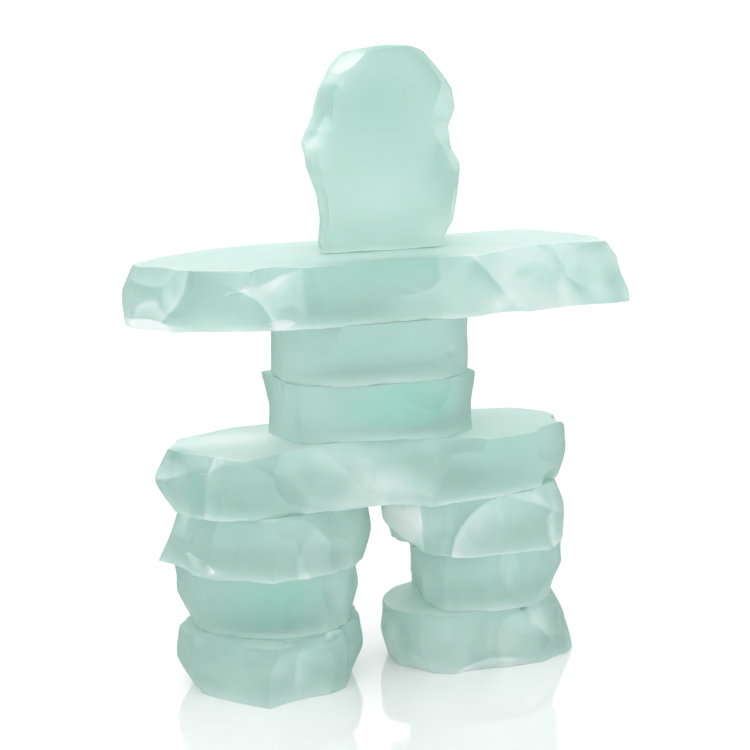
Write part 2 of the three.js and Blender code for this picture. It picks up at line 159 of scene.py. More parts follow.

# The tables of the slabs:
# corners: they run anticlockwise seen from above. x and y in percent of the slab's length and depth, for
#   the middle of its edge, then how far the top and bottom arrises stand out past that, in percent of
#   the plate's thickness.
# flakes: corner number along the edge, height in percent of thickness, how far the scar faces upward of
#   level in degrees, then width, height and bite in percent of thickness. A flake may end with its turn
#   to the right and its slant round its own middle, in degrees, and how much whiter it is, in percent:
#   partly the white of the crushed glass, partly painted light and shade on the scar, darker below zero.
# scars: how many more scars there are at random to a corner, where that isn't the usual.
# dips of the top face: x and y in percent of the slab's length and depth, then width, height and depth
#   of the dip in percent of thickness, its slant in degrees, and how much whiter it is painted, in
#   percent: painted light and shade over the dip, darker below zero.
# painted patches: painted light and shade, lighter where light comes through thin glass, darker where
#   shade falls: corner number, height, width and height of the patch in percent of thickness, its slant
#   in degrees, and how much whiter than usual it is painted, in percent, darker below zero.
# rims of scars that catch the light, as a painted highlight: how much whiter the rim is painted in
#   percent, how far that fades out to the left of the line in millimetres, then the line's corner
#   numbers and heights as it runs.
# plate_white_and_light, arris_white_and_highlight: how white the slab's faces and arrises are, frost and
#   painted light together, where that isn't the usual.
SLABS = {
    "left_leg_lower": dict(
        plate_white_and_light=0.3,
        arris_white_and_highlight=0.1,
        corners=[
            (-49, 16, -10, -35), (-44, -10, -8, -17), (-28, -29, -6, 1), (-9, -44, -20, 16),
            (9, -39, -12, 4), (31, -28, -6, -4), (45, -6, -10, -26), (48, 18, -8, -20), (36, 40, -4, -6),
            (4, 50, 0, 0), (-31, 42, -4, -4),
        ],
        flakes=[
            (0.5, 45, 0, 90, 150, 4), (1.35, 80, 18, 80, 70, 5), (1.9, 35, 2, 150, 120, 5, 0, -10),
            (2.9, 99, 45, 90, 40, 5, 0, 0, 15), (3.2, 60, 4, 100, 90, 4, 0, 0, 14),
            (4.12, 34, 9, 70, 150, 7, -8, -8, 14), (4.6, 94, 34, 44, 18, 5, 0, 20, 90),
            (3.75, 76, 30, 20, 10, 3, 0, 20, 80), (5.0, 76, 10, 44, 75, 4, 0, 0, 40),
            (5.4, 36, -5, 70, 140, 6), (6.0, 10, -30, 90, 90, 4), (6.9, 60, 0, 100, 130, 4),
            (8.5, 50, 0, 170, 150, 6), (9.8, 55, 5, 150, 150, 6),
        ],
        pale=[
            (3.5, 40, 66, 90, -8, 22), (3.0, 62, 70, 50, 0, 16), (2.0, 40, 150, 120, 0, 12),
            (4.55, 96, 20, 10, 20, 30), (2.8, 50, 360, 200, 0, 8),
        ],
        rims=[
            (22, 6, [(4.04, 84), (3.68, 82), (3.57, 66), (3.56, 36)]),
            (30, 1, [(2.3, 92), (3.0, 90), (3.4, 93)]),
        ],
    ),
    "left_leg_middle": dict(
        scars=0.2,
        corners=[
            (-47, 24, 21, -25), (-44, -10, 12, -12), (-28, -33, 0, -8), (-5, -50, 0, -4),
            (20, -45, 0, 0), (38, -31, 3, -8), (48, -7, -10, -15), (49, 19, -4, -4), (35, 43, 0, 0),
            (2, 50, 0, 0), (-32, 43, 0, 0),
        ],
        flakes=[
            (0.5, 50, 0, 110, 150, 4), (1.6, 60, 4, 110, 150, 3, 0, 0, 6),
            (3.0, 45, 0, 190, 170, 2, 0, 0, -12), (4.3, 60, 5, 70, 150, 4, 0, 8, 12),
            (5.6, 55, 0, 95, 140, 3), (7.4, 50, 5, 130, 150, 5), (8.8, 55, 5, 170, 150, 6),
            (10.2, 50, 0, 140, 150, 5),
        ],
        pale=[
            (2.9, 2, 330, 40, 0, 40), (2.9, 50, 280, 220, 0, -46), (4.6, 45, 60, 90, 0, 18),
            (1.0, 60, 70, 120, 0, -10),
        ],
    ),
    "left_leg_upper": dict(
        scars=0.4,
        corners=[
            (-44, 28, -18, 27), (-40, 2, -12, 19), (-29, -24, -8, 12), (-8, -43, -16, 15),
            (12, -41, -12, 8), (33, -31, -5, 0), (49, -11, -10, -15), (49, 20, -14, -20),
            (38, 41, -5, -8), (8, 50, 0, -3), (-26, 46, -3, -3), (-38, 41, -10, 15),
        ],
        flakes=[
            (0.42, 86, 34, 50, 50, 7, 0, 0, 50), (0.8, 45, 6, 90, 140, 4),
            (2.45, 70, 2, 210, 120, 8, 0, 0, 5), (1.6, 11, 50, 112, 14, 5, 0, -12, 80),
            (2.4, 99, 50, 100, 12, 4, 0, 0, 90), (3.3, 45, 4, 70, 120, 5, 0, 14, 12),
            (4.05, 36, 11, 80, 150, 8, -6, 12, 8), (3.9, 4, 34, 100, 12, 4, 0, 0, 30),
            (4.75, 60, 2, 60, 140, 5, 0, 0, -12), (5.5, 55, 0, 90, 140, 4), (6.3, 15, -30, 85, 90, 4),
            (7.6, 50, 5, 130, 150, 5), (9.2, 55, 5, 170, 150, 6), (10.5, 50, 0, 140, 150, 5),
        ],
        pale=[
            (1.6, 16, 80, 12, -16, 46), (3.0, 2, 200, 5, 0, 20), (4.1, 34, 48, 90, 12, 8),
            (5.0, 55, 110, 150, 0, 26), (0.4, 84, 36, 36, 0, 30), (3.3, 60, 160, 120, 0, 10),
        ],
        rims=[
            (18, 6, [(4.0, 70), (3.74, 52), (3.58, 29), (3.6, 6)]),
            (70, 0.6, [(1.7, 97), (2.4, 96), (3.0, 97)]), (25, 5, [(0.55, 60), (0.75, 90)]),
        ],
    ),
    "right_leg_lower": dict(
        scars=0.4,
        plate_white_and_light=0.45,
        arris_white_and_highlight=0.1,
        corners=[
            (-46.5, 13, -5, -16), (-48.5, -11, -4, -15), (-38, -33, -8, 0), (-21, -46, -6, 0),
            (3, -45, -10, 0), (24, -43, -25, 0), (39, -35, -24, 0), (45.5, -20, -28, 8),
            (46, 13, -16, 0), (33, 39, -6, -5), (0, 50, 0, 0), (-34, 36, -8, -5),
        ],
        flakes=[
            (0.9, 2, -35, 90, 70, 4), (0.85, 42, 6, 46, 50, 4, 0, 0, 15), (1.9, 55, 0, 130, 160, 3),
            (3.1, 40, 0, 70, 160, 3, 0, 0, 10), (3.5, 5, -25, 84, 40, 7, 0, 0, 30),
            (3.6, 84, 32, 32, 8, 2.5, 0, 6, 40), (3.62, 73, 32, 38, 8, 2.5, 0, 4, 40),
            (3.68, 63, 32, 28, 8, 2.5, 0, 6, 35), (4.25, 56, 13, 100, 170, 10, -8, 10, 14),
            (5.3, 78, 26, 120, 120, 9, 8, 0, 5), (5.75, 30, -5, 80, 80, 4), (6.6, 80, 10, 95, 110, 5),
            (8.4, 50, 5, 130, 150, 5), (9.6, 55, 5, 170, 150, 6), (10.6, 50, 0, 150, 150, 5),
        ],
        pale=[
            (2.6, 50, 420, 240, 0, 30), (4.1, 55, 50, 96, 12, 14), (4.5, 50, 100, 110, 20, 24),
            (5.4, 66, 70, 76, -30, 14), (4.95, 76, 60, 70, 0, 30), (3.75, 58, 60, 90, 0, 24),
            (0.7, 50, 110, 170, 0, 60),
        ],
        rims=[
            (12, 7, [(4.53, 90), (4.12, 83), (3.94, 57), (3.92, 26)]),
            (16, 4, [(4.72, 90), (4.88, 70), (5.09, 51), (5.26, 34)]),
            (38, 4, [(4.15, 16), (3.66, 22), (3.2, 10)]),
            (45, 1.2, [(0.75, 62), (0.95, 48), (0.85, 30)]),
        ],
    ),
    "right_leg_middle": dict(
        scars=0.2,
        corners=[
            (-43.5, 14, 12, -18), (-46, -14, 11, -14), (-38, -38, 0, 0), (-14, -50, 0, 0),
            (14, -50, 0, -4), (31, -33, 0, -12), (44, -10, 8, -26), (48.5, 19, 5, -14), (31, 43, 0, -5),
            (-3, 50, 0, 0), (-36, 40, 0, 0),
        ],
        flakes=[
            (0.5, 30, -5, 90, 120, 4), (1.4, 74, 8, 70, 70, 3, 0, 0, 10),
            (2.6, 50, 0, 170, 170, 2, 0, 0, -8), (3.42, 56, 5, 34, 84, 2.5, 0, 6, 26),
            (4.4, 55, 0, 110, 150, 4), (5.6, 50, 5, 80, 140, 5), (6.3, 20, -25, 90, 110, 5),
            (7.6, 50, 0, 120, 150, 5), (9.2, 55, 5, 160, 150, 6), (10.3, 50, 0, 130, 150, 5),
        ],
        pale=[
            (2.6, 50, 260, 220, 0, 14), (1.1, 40, 110, 170, 0, 46), (2.6, 2, 300, 26, 0, 14),
            (3.42, 55, 16, 42, 0, 26), (4.2, 60, 50, 90, 0, -12),
        ],
    ),
    "right_leg_upper": dict(
        scars=0.3,
        corners=[
            (-50, -10, 2, -65), (-34, -34, 0, -20), (-16, -48, -5, -8), (8, -48, -10, -8),
            (27, -48, -20, 4), (42, -28, -15, -4), (49.5, -6, -24, 1), (51.5, 17, -14, 1),
            (38, 41, -6, -6), (3, 50, 0, 0), (-31, 46, -3, -5), (-41, 21, 0, -15),
        ],
        flakes=[
            (0.36, 60, -20, 120, 160, 6, -10, 0, 60), (1.0, 88, 20, 30, 60, 5, 0, 0, 30),
            (1.4, 50, 2, 80, 240, 6, 0, 8, 12), (3.0, 48, 6, 186, 190, 11, 7, 6, 8),
            (2.35, 44, 14, 90, 170, 10.5, 9, 14, 16), (4.1, 94, 40, 110, 60, 8, 0, 0, 25),
            (4.35, 20, 18, 60, 70, 6, 0, 0, 30), (4.75, 72, 24, 50, 90, 6, 0, 0, 20),
            (5.6, 45, 0, 90, 130, 4), (6.4, 15, -20, 80, 80, 4), (7.6, 50, 5, 110, 150, 5),
            (9.0, 55, 5, 160, 150, 6), (10.2, 50, 5, 150, 150, 5),
        ],
        pale=[
            (0.4, 55, 120, 110, 0, 140), (0.2, 20, 50, 40, 0, 90), (1.4, 50, 60, 160, 0, 16),
            (3.3, 40, 70, 100, 0, -6), (3.95, 92, 60, 34, 0, 20), (2.9, 1, 260, 4, 0, 40),
            (2.8, 60, 300, 200, 0, 12),
        ],
        rims=[
            (60, 5, [(0.9, 20), (0.95, 59), (0.92, 78), (0.92, 100)]),
            (52, 7, [(2.42, 84), (2.18, 73), (1.89, 58), (1.73, 36), (1.64, 4)]),
            (36, 5, [(3.2, 92), (3.9, 78), (4.5, 60)]), (42, 4, [(4.38, 52), (4.3, 25), (4.32, 4)]),
            (14, 4, [(1.55, 96), (1.5, 50), (1.35, 10)]),
        ],
    ),
    "hips": dict(
        scars=0.4,
        plate_white_and_light=0.5,
        corners=[
            (-50, 9, -30, -38), (-47, -15, -25, -18), (-41, -30, -8, 0), (-32, -40, -4, -5),
            (-21, -42, -12, -18), (-11, -42, -28, -10), (-2, -38, -40, -12), (10, -46, -50, 8),
            (20, -44, -3, 0), (31, -40, -4, 0), (41, -32, 0, -8), (50.5, -15, -4, -14),
            (50.5, 17, -5, -8), (43, 38, -4, -8), (25, 48, 0, -4), (-2, 50, 0, -4), (-26, 48, -3, -6),
            (-42, 34, -12, -14),
        ],
        flakes=[
            (0.62, 84, 20, 130, 105, 7, 0, 0, 12), (0.25, 66, 30, 50, 40, 6, 0, 20, 35),
            (0.8, 22, -22, 110, 90, 6), (1.72, 52, -2, 46, 210, 8, 8, 6, -25),
            (2.15, 94, 50, 120, 180, 9, -22, 0, 20), (4.3, 66, 34, 300, 300, 13, 14, 0, 10),
            (6.1, 56, 18, 230, 220, 13, 0, 0, 20), (5.5, 12, 14, 140, 30, 5, 0, -8, 15),
            (10.9, 15, -20, 90, 75, 4), (10.6, 12, -40, 60, 45, 8), (11.3, 100, 45, 60, 30, 9),
            (11.6, 55, 0, 110, 140, 3), (13.3, 50, 5, 150, 150, 6), (14.7, 60, 5, 190, 150, 6),
            (16.2, 50, 0, 180, 150, 6), (17.4, 60, 5, 120, 140, 5),
        ],
        dips=[
            (-28, 18, 330, 120, 0, 0, 50), (-22, -34, 240, 60, 0, 0, -20), (-44, -2, 50, 60, 0, 0, -60),
        ],
        pale=[
            (0.63, 84, 46, 44, 0, 16), (1.7, 60, 44, 120, 0, -30), (6.3, 64, 160, 140, -16, 92),
            (5.3, 92, 150, 60, -10, 40), (5.5, 8, 110, 14, 0, 10), (3.0, 40, 120, 100, 0, -10),
            (4.3, 74, 80, 90, -40, -30), (6.9, 30, 90, 90, 0, 16),
        ],
        rims=[
            (24, 9, [(2.05, 66), (2.2, 84), (2.45, 92), (2.84, 95), (3.22, 92), (3.5, 80)]),
            (10, 8, [(4.2, 36), (4.54, 14), (5.45, 3)]),
            (34, 3.5, [(2.1, 104), (2.1, 75), (1.89, 40), (1.9, 8)]),
            (40, 4, [(0.05, 52), (0.5, 56), (0.78, 62)]), (20, 4, [(0.5, 12), (0.62, 40), (0.5, 52)]),
            (30, 0.6, [(1.7, 2), (2.3, 1), (3.0, 2)]), (50, 0.6, [(7.4, 2), (9.0, 1), (10.4, 2)]),
        ],
    ),
    "torso_lower": dict(
        scars=0.4,
        corners=[
            (-46, 20, 26, 7), (-44, -9, 11, -6), (-38, -31, 5, -4), (-18, -42, 15, -20),
            (8, -46, 8, -12), (27, -50, 0, 0), (39, -41, 0, 0), (50, -23, 11, 3), (49, 15, 11, 4),
            (38, 39, 3, 3), (2, 47, 3, 3), (-30, 45, 3, 3),
        ],
        flakes=[
            (0.4, 45, 0, 110, 150, 3), (7.4, 50, 0, 120, 150, 4), (9.0, 55, 0, 130, 150, 4),
            (10.6, 50, 0, 170, 150, 5), (5.4, 58, 20, 12, 5, 1.5, 0, 0, 30),
            (6.2, 20, 20, 20, 6, 1.5, 0, 0, 30),
        ],
        pale=[(1.0, 40, 110, 150, 0, 20), (4.2, 62, 270, 120, 0, -76), (4.0, 2, 320, 40, 0, 24)],
    ),
    "torso_upper": dict(
        scars=0.3,
        corners=[
            (-49.6, 35, 0, 0), (-49.6, -9, 0, 0), (-43, -32, 0, -3), (-25, -50, 0, 0), (3, -50, 0, 0),
            (27, -50, 0, 0), (43, -32, 0, 0), (50, -9, 0, 0), (51, 26, 0, 0), (35, 47, 0, 0),
            (-2, 50, 0, 0), (-37, 48, 0, 0),
        ],
        flakes=[
            (0.5, 50, 0, 130, 160, 3), (8.6, 50, 0, 130, 150, 4), (10.4, 50, 0, 170, 150, 5),
            (5.3, 40, 15, 30, 20, 2, 0, 0, 20),
        ],
        pale=[(1.2, 50, 130, 150, 0, 20), (3.6, 50, 260, 200, 0, -14), (3.6, 4, 280, 40, 0, 22)],
        rims=[(30, 0.8, [(4.9, 40), (5.2, 46), (5.5, 44)]), (26, 0.8, [(5.3, 16), (5.7, 22), (5.8, 18)])],
    ),
    "arms": dict(
        scars=0.3,
        plate_white_and_light=0.5,
        corners=[
            (-50.9, 6, -26, -10), (-49.9, -17, -22, -8), (-44.5, -31, -14, -8), (-37, -40, 5, -12),
            (-30, -47, 4, -12), (-20, -50, 0, 0), (-6, -46, -3, 0), (5, -45, -3, 0), (12, -47, 0, 4),
            (24, -44, -20, 0), (36, -42, -30, 4), (50, -33, -45, 4), (49, 2, -20, 0), (44, 27, -14, -5),
            (36, 48, -5, -8), (21, 44, 0, -4), (0, 48, 0, -6), (-20, 47, 0, -4), (-33, 38, -3, -8),
            (-43, 23, -10, -12),
        ],
        flakes=[
            (0.5, 60, 0, 90, 120, 3), (1.6, 92, 42, 78, 90, 8, -6, 0, 5),
            (1.5, 42, 26, 50, 26, 4, 0, 0, 30), (1.3, 5, -30, 100, 54, 8, 0, 0, 80),
            (2.4, 50, 6, 60, 220, 6, -14, 12, 45), (3.1, 42, 0, 100, 150, 3),
            (4.65, 74, 30, 90, 60, 8, -14, 24, 16), (4.85, 26, 8, 100, 150, 9, 6, 14, 0),
            (3.85, 66, 40, 56, 7, 3, 0, 26, 60), (2.72, 64, 20, 16, 6, 2.5, 0, 20, 60),
            (4.6, 8, 34, 60, 12, 6, 0, 0, 50), (6.15, 68, 0, 14, 6, 0.8, 0, 0, 100),
            (6.85, 50, 0, 34, 7, 0.8, 0, -4, 100), (8.0, 66, 16, 76, 120, 5, -8, 0, 15),
            (9.3, 52, 22, 300, 320, 18, 13, 0, 40), (9.5, 92, 50, 230, 150, 15, 10, 0, 44),
            (9.4, 70, 26, 70, 44, 16, 4, 0, 10), (10.8, 60, 18, 100, 150, 9, 14, 0, 5),
            (10.15, 74, 30, 22, 16, 4, 0, 20, 60), (10.27, 48, 26, 24, 14, 4, 0, -20, 60),
            (10.6, 18, 28, 74, 54, 7, 0, 0, 20), (11.5, 70, 5, 110, 110, 5), (12.6, 60, 5, 120, 140, 4),
            (13.7, 50, 0, 130, 140, 5), (15.5, 55, 5, 210, 150, 6), (16.9, 45, -5, 170, 150, 5),
            (18.2, 60, 5, 150, 150, 6), (19.3, 50, 0, 120, 140, 5),
        ],
        dips=[(0, -41, 330, 60, 0, 0, -40)],
        pale=[
            (4.68, 60, 60, 40, 20, 10), (4.6, 76, 70, 34, 20, 34), (4.8, 24, 80, 60, 0, -14),
            (7.9, 50, 70, 110, 0, 14), (9.3, 55, 200, 150, 0, 34), (9.6, 98, 220, 60, 0, 30),
            (9.31, 64, 60, 26, 0, -30), (8.85, 24, 70, 50, 0, 20), (10.5, 20, 50, 44, 0, 24),
            (5.8, 50, 300, 170, 0, -16), (0.9, 35, 130, 120, 0, 24), (8.7, 14, 60, 50, 0, 36),
            (3.0, 8, 230, 80, 0, 26), (8.1, 30, 110, 100, 0, 22), (11.0, 80, 90, 120, 0, 60),
            (10.0, 60, 30, 120, 20, 20), (8.85, 14, 130, 50, 0, 30), (8.2, 96, 60, 30, 0, 36),
            (8.4, 40, 60, 60, 0, 22), (10.95, 16, 50, 60, 0, 30), (9.95, 36, 40, 60, 0, 20),
        ],
        rims=[
            (50, 6, [(3.9, 63), (4.16, 53), (4.31, 37), (4.44, 17), (4.5, 2)]),
            (36, 4, [(5.0, 99), (4.85, 92), (4.67, 87), (4.47, 78), (4.16, 71), (3.95, 65)]),
            (80, 0.5, [(3.45, 60), (3.62, 64), (3.95, 66), (4.16, 71)]),
            (24, 4, [(5.08, 40), (5.04, 88)]), (26, 2, [(4.6, 36), (4.85, 42), (5.0, 30)]),
            (44, 9, [(8.27, 93), (8.47, 77), (8.59, 61), (8.74, 44)]),
            (14, 2.5, [(8.98, 60), (9.19, 72), (9.45, 75), (9.71, 69), (9.85, 60)]),
            (34, 4, [(10.06, 96), (10.1, 74), (10.22, 62), (10.17, 52), (10.32, 38)]),
            (44, 6, [(1.66, 1), (2.12, 36), (2.36, 60), (2.5, 94)]),
            (28, 5, [(0.8, 78), (1.2, 74), (1.46, 72), (1.9, 75), (2.19, 98)]),
            (34, 3, [(1.84, 38), (1.66, 46), (1.5, 50), (1.27, 47), (1.12, 38)]),
            (95, 4, [(1.8, 16), (1.4, 20), (0.9, 18)]),
            (30, 7, [(7.42, 96), (7.4, 66), (7.1, 46), (6.75, 46)]),
            (44, 1.0, [(6.75, 50), (6.95, 44), (7.15, 47)]),
            (40, 0.8, [(3.4, 0), (5.2, 0), (6.2, 0), (7.4, 0), (8.4, 0)]),
            (40, 0.6, [(2.8, 98), (3.6, 97), (4.4, 98)]),
        ],
    ),
    # The head stands upright: its x and y are across and up, and its top arrises face front.
    "head": dict(
        upright=True,
        scars=0,
        plate_white_and_light=0.18,
        arris_white_and_highlight=0.1,
        corners=[
            (-37, -50, 14, -12), (35, -50, -6, -6), (40, -43, -12, -10), (44, -38, -12, -10),
            (47, -25, -12, -10), (48.4, -8, -12, -10), (42.4, 1, -12, -10), (41, 10, -12, -10),
            (46, 19, -12, -10), (43.3, 30, -12, -10), (34.3, 40, -10, -10), (21, 49, -2, -11),
            (14, 51, 0, -11), (2, 51, 0, -11), (-6, 50, 0, -11), (-18, 49, 0, -10), (-28.4, 40, -4, -9),
            (-35.6, 27, -4, -8), (-40.3, 15, -4, -10), (-44.7, 3, -4, -7), (-45, -9, 2, -13),
            (-38.7, -23, 12, -14), (-36, -37, 16, -14),
        ],
        flakes=[
            (3.4, 100, 60, 120, 60, 3, 0, 0, 50), (3.5, 50, 0, 110, 150, 3),
            (5.0, 97, 66, 190, 110, 3, 0, 0, 50), (6.9, 95, 40, 40, 40, 4, 0, 0, 40),
            (8.3, 100, 60, 90, 50, 3, 0, 0, 50), (9.6, 100, 62, 160, 60, 4, 0, 0, 50),
            (9.3, 45, 0, 110, 140, 3), (10.6, 50, 0, 80, 150, 3), (10.8, 100, 60, 120, 60, 3, 0, 0, 50),
            (15.75, 50, 0, 130, 190, 7, -8, 0, 85), (17.25, 56, 0, 100, 190, 7, 16, 0, -14),
            (18.8, 52, 6, 80, 190, 7, -18, 0, 34), (19.9, 60, 6, 84, 190, 6, 10, 0, 5),
            (19.85, 98, 42, 74, 60, 7, 0, 0, 15), (18.1, 99, 40, 40, 30, 4, 0, 0, 40),
            (16.6, 99, 42, 44, 30, 4, 0, 0, 40), (21.2, 50, 0, 90, 150, 3),
        ],
        dips=[
            (-10, 24, 170, 140, 4, 0, -38), (29, -8, 38, 110, 2.5, 0, -30), (28, 30, 80, 100, 0, 0, -10),
            (36, 1, 46, 50, 0, 0, -24), (-4, -24, 170, 150, 1, 0, 24), (29, -42, 80, 50, 0, 0, 24),
        ],
        pale=[
            (15.8, 62, 120, 140, 0, 44), (0.45, 98, 330, 60, 0, 24), (6.5, 90, 110, 90, 0, 30),
            (19.0, 55, 60, 120, 0, 50), (5.0, 60, 300, 90, 0, 30), (8.5, 60, 300, 90, 0, 30),
            (2.4, 90, 120, 90, 0, 40), (21.6, 60, 210, 160, 0, 30), (0.4, 60, 60, 160, 0, 20),
        ],
        rims=[
            (30, 6, [(16.75, 0), (16.6, 50), (16.5, 100)]),
            (20, 5, [(19.45, 0), (19.6, 50), (19.9, 100)]),
            (22, 5, [(18.55, 0), (18.5, 50), (18.4, 100)]),
            (16, 6, [(20.7, 30), (20.6, 70), (20.8, 100)]), (60, 1.2, [(0.04, 99), (0.96, 99)]),
        ],
    ),
}

# How round a slab's corners are worn, and where that isn't the usual.
CORNER_SOFTNESS = 2.0 * MM
WORN = {
    "hips": 1.4 * MM, "torso_lower": 2.8 * MM, "torso_upper": 3.2 * MM, "arms": 1.5 * MM,
    "head": 0.8 * MM,
}


# The shape of a slab

def edge_rings(slab, length, depth, thick):
    """Bottom, middle and top outlines, 3 x corners x 2.

    The middle one is the table's percent of length and depth. The other two stand out from it along the
    edge's normal at each corner, sideways only on the base that an upright slab stands on.
    """
    table = np.array(slab["corners"], dtype=float)
    middle = table[:, :2] * PERCENT * (length, depth)
    along = np.roll(middle, -1, axis=0) - np.roll(middle, 1, axis=0)
    along /= np.linalg.norm(along, axis=1, keepdims=True)
    outwards = np.stack([along[:, 1], -along[:, 0]], axis=1)
    if slab.get("upright"):
        base = table[:, 1] == UPRIGHT_BASE
        outwards[base] = np.stack([np.sign(middle[base, 0]), np.zeros(base.sum())], axis=1)
    stands = table[:, 2:] * PERCENT * thick
    return np.stack([middle + outwards * stands[:, 1:], middle, middle + outwards * stands[:, :1]])


def edge_run(rings):
    """Arc length along the middle outline at each corner, and once more round at the first."""
    middle = np.vstack([rings[1], rings[1][:1]])
    return np.concatenate([[0], np.cumsum(np.linalg.norm(np.diff(middle, axis=0), axis=1))])


def edge_columns(rings):
    """Corner numbers, whole and part, at even steps of arc length along the middle outline."""
    run = edge_run(rings)
    count = int(round(run[-1] / COLUMN_STEP))
    return np.interp(np.arange(count) * run[-1] / count, run, np.arange(len(run)))


def between_corners(rings, where):
    """The outlines at corner numbers: straight from one corner to the next."""
    count = rings.shape[1]
    low = np.floor(where).astype(int) % count
    share = (where - np.floor(where))[:, None]
    return rings[:, low] * (1 - share) + rings[:, (low + 1) % count] * share


def softened(outlines, radius):
    """Closed outlines with their corners rounded: each term of the Fourier series along the edge is
    damped as a Gaussian of this radius would."""
    count = outlines.shape[1]
    frequencies = np.fft.rfftfreq(count) / COLUMN_STEP
    damp = np.exp(-2 * (np.pi * frequencies * radius) ** 2)[:, None]
    return np.fft.irfft(np.fft.rfft(outlines, axis=1) * damp, count, axis=1)


def row_heights(thick):
    """Heights of the rows up a wall, close together in the two rounded arrises, and how far each row is
    tucked in there: radius times one minus the cosine, and one minus the sine, of an even turn."""
    turn = np.linspace(0, math.pi / 2, ARRIS_ROWS)
    rise, tuck = 1 - np.cos(turn), 1 - np.sin(turn)
    count = int(round(thick / ROW_STEP))
    straight = np.linspace(LOWER_ARRIS_RADIUS, thick - ARRIS_RADIUS, count + 1)[1:-1]
    heights = np.concatenate([LOWER_ARRIS_RADIUS * rise, straight, thick - ARRIS_RADIUS * rise[::-1]])
    tucks = np.concatenate([LOWER_ARRIS_RADIUS * tuck, np.zeros(count - 1), ARRIS_RADIUS * tuck[::-1]])
    return heights, tucks


def bent(share):
    """Rises from about 0 at -1 to 1 at 1, straight above 0, with a soft bend there."""
    return (share + np.sqrt(share ** 2 + WALL_BEND ** 2)) / (1 + math.sqrt(1 + WALL_BEND ** 2))


def waves(points, length, seed):
    """Smooth unevenness, mostly from -1 to 1: the sum of sine waves of about one length, each of its own
    direction and phase."""
    rng = np.random.default_rng(seed)
    directions = rng.normal(size=(WAVE_COUNT, 3))
    directions /= np.linalg.norm(directions, axis=1, keepdims=True)
    lengths = length * rng.uniform(*WAVE_LENGTHS, (WAVE_COUNT, 1))
    phases = rng.uniform(0, 2 * math.pi, WAVE_COUNT)
    summed = np.sin(points @ (2 * math.pi * directions / lengths).T + phases).sum(axis=-1)
    return summed / WAVE_COUNT ** 0.5


def coarse_and_fine(points, pairs, seed):
    """The sum of waves of several lengths, each times its own amount."""
    return sum(much * waves(points, length, seed + number) for number, (much, length) in enumerate(pairs))


def turned(vectors, axis, degrees):
    """Vectors turned about a unit axis: Rodrigues' formula, row by row."""
    angle = np.radians(degrees)[:, None]
    dot = (vectors * axis).sum(axis=1, keepdims=True)
    sideways = np.cross(axis, vectors) * np.sin(angle)
    return vectors * np.cos(angle) + sideways + axis * dot * (1 - np.cos(angle))


def flake_frames(rings, flakes, thick):
    """Where each flake sits on the wall and how it faces: its place, its three axes along, up and out,
    its half width, half height and bite, and its whiteness."""
    table = np.array([tuple(f) + (0,) * (9 - len(f)) for f in flakes], dtype=float)
    where, height, tilt, wide, tall, bite, turn, slant, white = table.T
    corner = np.floor(where)
    at = between_corners(rings, where)
    upper = np.clip(height * PERCENT * 2, 0, 2)
    step = np.minimum(np.floor(upper), 1).astype(int)
    pick = np.arange(len(where))
    share = (upper - step)[:, None]
    low, high = at[step, pick], at[step + 1, pick]
    place = np.column_stack([low * (1 - share) + high * share, height * PERCENT * thick])
    ends = between_corners(rings[1:2], corner + 1)[0] - between_corners(rings[1:2], corner)[0]
    along = np.column_stack([ends, np.zeros(len(where))])
    along /= np.linalg.norm(along, axis=1, keepdims=True)
    outwards = turned(np.cross(along, (0, 0, 1)), along, -tilt)
    upwards = np.cross(outwards, along)
    outwards, along = turned(outwards, upwards, turn), turned(along, upwards, turn)
    along, upwards = turned(along, outwards, slant), turned(upwards, outwards, slant)
    size = np.stack([wide / 2, tall / 2, bite], axis=1) * PERCENT * thick
    return place, along, upwards, outwards, size, white * PERCENT


def chance_flakes(slab, seed):
    """Broad shallow scars at random round the edge, and small chips along both arrises that face out at a
    slope, as rows of the flakes table."""
    rng = np.random.default_rng(seed)
    corners = len(slab["corners"])
    count = int(corners * slab.get("scars", SCARS_PER_CORNER))
    where = (np.arange(count) + rng.uniform(0, 1, count)) * corners / count
    height = rng.uniform(*SCAR_HEIGHTS, count)
    tilt = rng.normal(*SCAR_TILTS, count)
    wide = rng.uniform(*SCAR_WIDTHS, count)
    tall = rng.uniform(*SCAR_TALLNESS, count)
    bite = rng.uniform(*SCAR_BITES, count)
    turn, slant = rng.normal(*SCAR_TURNS, count), rng.normal(*SCAR_SLANTS, count)
    rows = list(zip(where, height, tilt, wide, tall, bite, turn, slant, rng.uniform(*SCAR_WHITES, count)))
    for height, lean in ((100, 1), (0, -1)):
        count = corners * CHIPS_PER_CORNER
        where = np.sort(rng.uniform(0, corners, count))
        tilt = lean * rng.uniform(*CHIP_TILTS, count)
        wide = rng.uniform(*CHIP_WIDTHS, count)
        tall = wide * rng.uniform(*CHIP_TALLNESS, count)
        bite = wide * rng.uniform(*CHIP_BITES, count)
        rows += list(zip(where, np.full(count, height), tilt, wide, tall, bite))
    return rows


